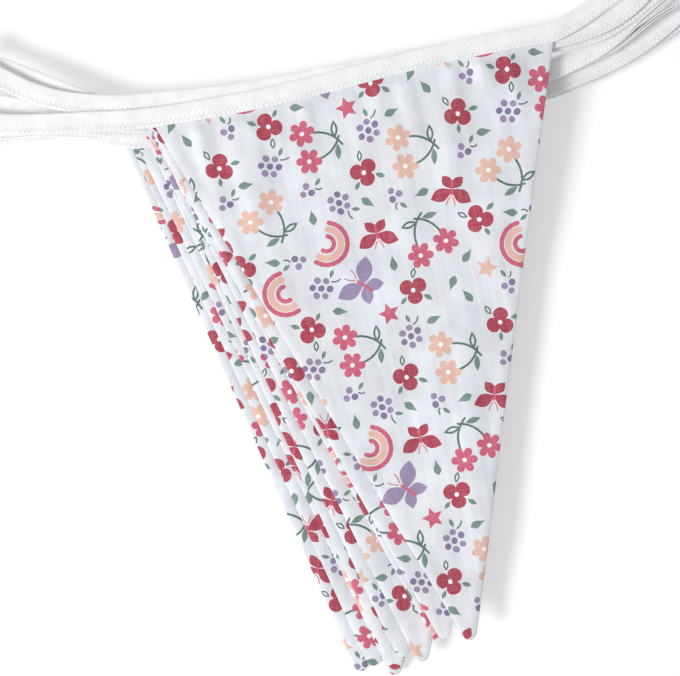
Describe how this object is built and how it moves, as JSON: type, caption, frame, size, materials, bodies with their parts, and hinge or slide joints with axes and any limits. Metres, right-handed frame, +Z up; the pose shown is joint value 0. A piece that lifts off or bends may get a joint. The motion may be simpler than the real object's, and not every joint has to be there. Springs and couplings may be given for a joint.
{
  "type": "fabric bunting",
  "caption": "Triangular cotton pennants on one folded binding tape, gathered to and fro into a flat stack with loose tape loops at both sides.",
  "frame": {"origin": "centre of the bounding box at its base, on the surface that the stack lies on", "axes": "+X to the right along the pennants' top edge, +Y from the tips towards the binding tape, +Z up from the surface through the stack"},
  "size_m": [0.4076, 0.3781, 0.0276],
  "materials": {
    "printed_cotton": "plain-weave cotton, white ground with a small scattered print",
    "binding_cotton": "white cotton binding tape with a zigzag stitch"
  },
  "bodies": {
    "root": {"binding_tape": "binding_cotton", "pennant_1": "printed_cotton", "pennant_2": "printed_cotton", "pennant_3": "printed_cotton", "pennant_4": "printed_cotton", "pennant_5": "printed_cotton", "pennant_6": "printed_cotton", "pennant_7": "printed_cotton", "pennant_8": "printed_cotton", "pennant_9": "printed_cotton"}
  },
  "joints": []
}
